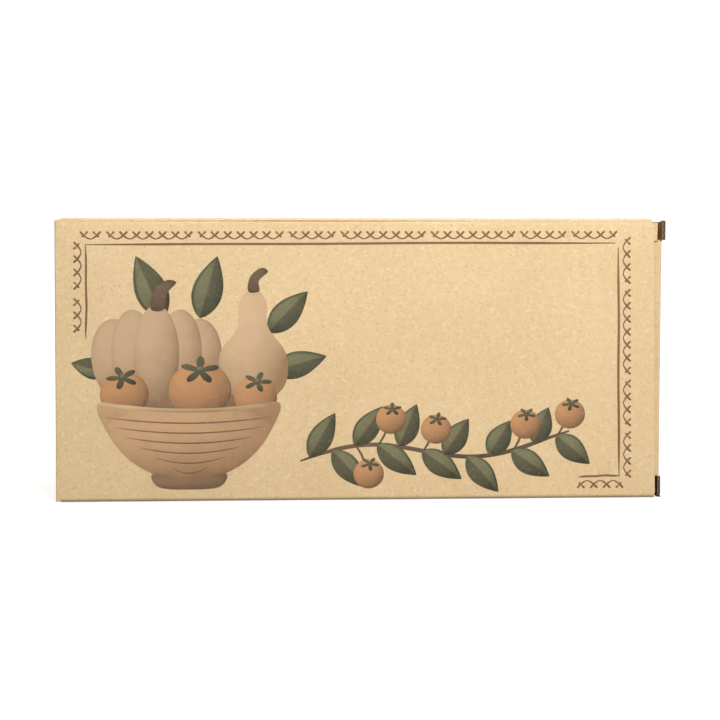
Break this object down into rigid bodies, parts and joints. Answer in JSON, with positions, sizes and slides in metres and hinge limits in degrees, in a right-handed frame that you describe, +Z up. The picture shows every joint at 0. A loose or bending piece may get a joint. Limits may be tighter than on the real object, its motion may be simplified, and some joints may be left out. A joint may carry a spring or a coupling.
{
  "type": "boxed balance game",
  "caption": "Boxed rabbit balance game: a tuck-end carton of kraft fluted board holds a wooden rabbit that rocks, with a waisted tray of lift-out carrots with felt leaves.",
  "frame": {"origin": "centre of the carton's footprint on the surface it stands on", "axes": "+X to the right along the front panel, +Y from the front panel to the back, +Z up"},
  "size_m": [0.3448, 0.108, 0.1577],
  "materials": {
    "kraft_board": "matte kraft liner",
    "tray_wood": "fine sanded, clear oil",
    "rabbit_paint": "matt water-based stain",
    "ear_paint": "matt water-based stain",
    "carrot_stain": "matt water-based stain",
    "green_felt": "wool felt"
  },
  "bodies": {
    "carton": {"front_panel": "kraft_board", "back_panel": "kraft_board", "top_panel": "kraft_board", "bottom_panel": "kraft_board", "glue_flap": "kraft_board"},
    "right_closure": {"right_closure": "kraft_board"},
    "right_tuck": {"right_tuck": "kraft_board"},
    "right_dust_top": {"right_dust_top": "kraft_board"},
    "right_dust_bottom": {"right_dust_bottom": "kraft_board"},
    "left_closure": {"left_closure": "kraft_board"},
    "left_tuck": {"left_tuck": "kraft_board"},
    "left_dust_top": {"left_dust_top": "kraft_board"},
    "left_dust_bottom": {"left_dust_bottom": "kraft_board"},
    "rocker": {"balance_tray": "tray_wood", "rabbit_lower": "rabbit_paint", "rabbit_upper": "rabbit_paint", "waist_dowel_1": "tray_wood", "waist_dowel_2": "tray_wood", "ear_left": "ear_paint", "ear_right": "ear_paint"},
    "carrot_1": {"carrot_root_1": "carrot_stain", "carrot_leaves_1": "green_felt"},
    "carrot_2": {"carrot_root_2": "carrot_stain", "carrot_leaves_2": "green_felt"},
    "carrot_3": {"carrot_root_3": "carrot_stain", "carrot_leaves_3": "green_felt"},
    "carrot_4": {"carrot_root_4": "carrot_stain", "carrot_leaves_4": "green_felt"},
    "carrot_5": {"carrot_root_5": "carrot_stain", "carrot_leaves_5": "green_felt"},
    "carrot_6": {"carrot_root_6": "carrot_stain", "carrot_leaves_6": "green_felt"},
    "carrot_7": {"carrot_root_7": "carrot_stain", "carrot_leaves_7": "green_felt"},
    "carrot_8": {"carrot_root_8": "carrot_stain", "carrot_leaves_8": "green_felt"},
    "carrot_9": {"carrot_root_9": "carrot_stain", "carrot_leaves_9": "green_felt"},
    "carrot_10": {"carrot_root_10": "carrot_stain", "carrot_leaves_10": "green_felt"}
  },
  "joints": [
    {"name": "right_closure_fold", "type": "hinge", "parent": "carton", "child": "right_closure", "pos_m": [0.1692, 0.0532, 0.07885], "axis": [0, 0, 1], "range_deg": [0, 180]},
    {"name": "right_tuck_fold", "type": "hinge", "parent": "right_closure", "child": "right_tuck", "pos_m": [0.1692, -0.0512, 0.07885], "axis": [0, 0, 1], "range_deg": [0, 72]},
    {"name": "right_dust_top_fold", "type": "hinge", "parent": "carton", "child": "right_dust_top", "pos_m": [0.165, 0, 0.1569], "axis": [0, -1, 0], "range_deg": [0, 90]},
    {"name": "right_dust_bottom_fold", "type": "hinge", "parent": "carton", "child": "right_dust_bottom", "pos_m": [0.165, 0, 0.0008], "axis": [0, 1, 0], "range_deg": [0, 90]},
    {"name": "left_closure_fold", "type": "hinge", "parent": "carton", "child": "left_closure", "pos_m": [-0.1692, -0.0532, 0.07885], "axis": [0, 0, 1], "range_deg": [0, 180]},
    {"name": "left_tuck_fold", "type": "hinge", "parent": "left_closure", "child": "left_tuck", "pos_m": [-0.1692, 0.0512, 0.07885], "axis": [0, 0, 1], "range_deg": [0, 72]},
    {"name": "left_dust_top_fold", "type": "hinge", "parent": "carton", "child": "left_dust_top", "pos_m": [-0.165, 0, 0.1569], "axis": [0, 1, 0], "range_deg": [0, 90]},
    {"name": "left_dust_bottom_fold", "type": "hinge", "parent": "carton", "child": "left_dust_bottom", "pos_m": [-0.165, 0, 0.0008], "axis": [0, -1, 0], "range_deg": [0, 90]},
    {"name": "rabbit_rock", "type": "hinge", "parent": "carton", "child": "rocker", "pos_m": [0, 0, 0.0779], "axis": [0, 1, 0], "range_deg": [-8, 8]},
    {"name": "carrot_1_lift", "type": "slide", "parent": "rocker", "child": "carrot_1", "axis": [0, 0, 1], "range_m": [0, 0.0195]},
    {"name": "carrot_2_lift", "type": "slide", "parent": "rocker", "child": "carrot_2", "axis": [0, 0, 1], "range_m": [0, 0.025]},
    {"name": "carrot_3_lift", "type": "slide", "parent": "rocker", "child": "carrot_3", "axis": [0, 0, 1], "range_m": [0, 0.022]},
    {"name": "carrot_4_lift", "type": "slide", "parent": "rocker", "child": "carrot_4", "axis": [0, 0, 1], "range_m": [0, 0.025]},
    {"name": "carrot_5_lift", "type": "slide", "parent": "rocker", "child": "carrot_5", "axis": [0, 0, 1], "range_m": [0, 0.022]},
    {"name": "carrot_6_lift", "type": "slide", "parent": "rocker", "child": "carrot_6", "axis": [0, 0, 1], "range_m": [0, 0.0195]},
    {"name": "carrot_7_lift", "type": "slide", "parent": "rocker", "child": "carrot_7", "axis": [0, 0, 1], "range_m": [0, 0.025]},
    {"name": "carrot_8_lift", "type": "slide", "parent": "rocker", "child": "carrot_8", "axis": [0, 0, 1], "range_m": [0, 0.022]},
    {"name": "carrot_9_lift", "type": "slide", "parent": "rocker", "child": "carrot_9", "axis": [0, 0, 1], "range_m": [0, 0.025]},
    {"name": "carrot_10_lift", "type": "slide", "parent": "rocker", "child": "carrot_10", "axis": [0, 0, 1], "range_m": [0, 0.022]}
  ],
  "couplings": [
    {"joint": "right_tuck_fold", "follows": "right_closure_fold", "ratio": 0.4},
    {"joint": "right_dust_top_fold", "follows": "right_closure_fold", "ratio": 0.5},
    {"joint": "right_dust_bottom_fold", "follows": "right_closure_fold", "ratio": 0.5},
    {"joint": "left_tuck_fold", "follows": "left_closure_fold", "ratio": 0.4},
    {"joint": "left_dust_top_fold", "follows": "left_closure_fold", "ratio": 0.5},
    {"joint": "left_dust_bottom_fold", "follows": "left_closure_fold", "ratio": 0.5}
  ]
}
